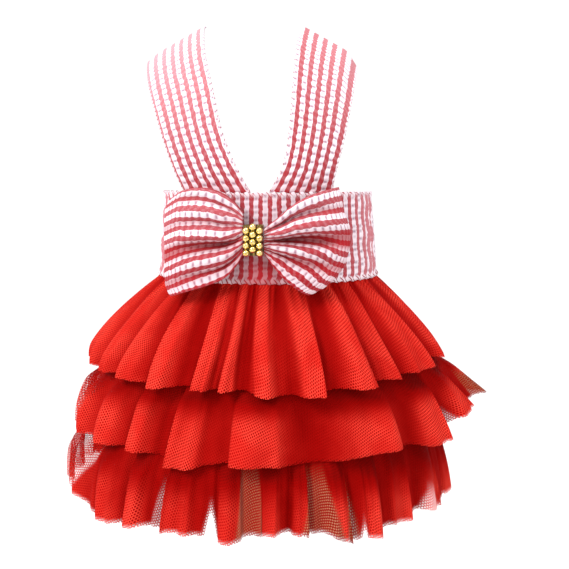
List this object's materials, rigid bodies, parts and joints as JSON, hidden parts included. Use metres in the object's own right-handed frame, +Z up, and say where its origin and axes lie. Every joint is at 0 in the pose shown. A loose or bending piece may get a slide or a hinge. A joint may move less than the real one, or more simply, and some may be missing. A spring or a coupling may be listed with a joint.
{
  "type": "dog dress",
  "caption": "Sleeveless pet dress: striped chest band and two wide shoulder straps, a bow with a beaded knot, and a gathered skirt of net tiers.",
  "frame": {"origin": "middle of the chest opening, at half the height of the chest band, where the dress sits round the dog's chest", "axes": "+Z up towards the shoulder straps, -Y out of the front with the bow, +X to the right seen from the front"},
  "size_m": [0.2975, 0.2131, 0.326],
  "materials": {
    "seersucker": "puckered cotton, red and white stripes",
    "tulle": "red polyester net",
    "knot_cloth": "dull bronze braid wrap",
    "gold": "polished gold-coloured beads"
  },
  "bodies": {
    "root": {"chest_band": "seersucker", "strap_left": "seersucker", "strap_right": "seersucker", "tier_top": "tulle", "tier_middle": "tulle", "tier_bottom": "tulle", "bow_left": "seersucker", "bow_right": "seersucker", "bow_knot": "knot_cloth", "bead_1_1": "gold", "bead_1_2": "gold", "bead_1_3": "gold", "bead_1_4": "gold", "bead_2_1": "gold", "bead_2_2": "gold", "bead_2_3": "gold", "bead_2_4": "gold", "bead_3_1": "gold", "bead_3_2": "gold", "bead_3_3": "gold", "bead_3_4": "gold"}
  },
  "joints": []
}
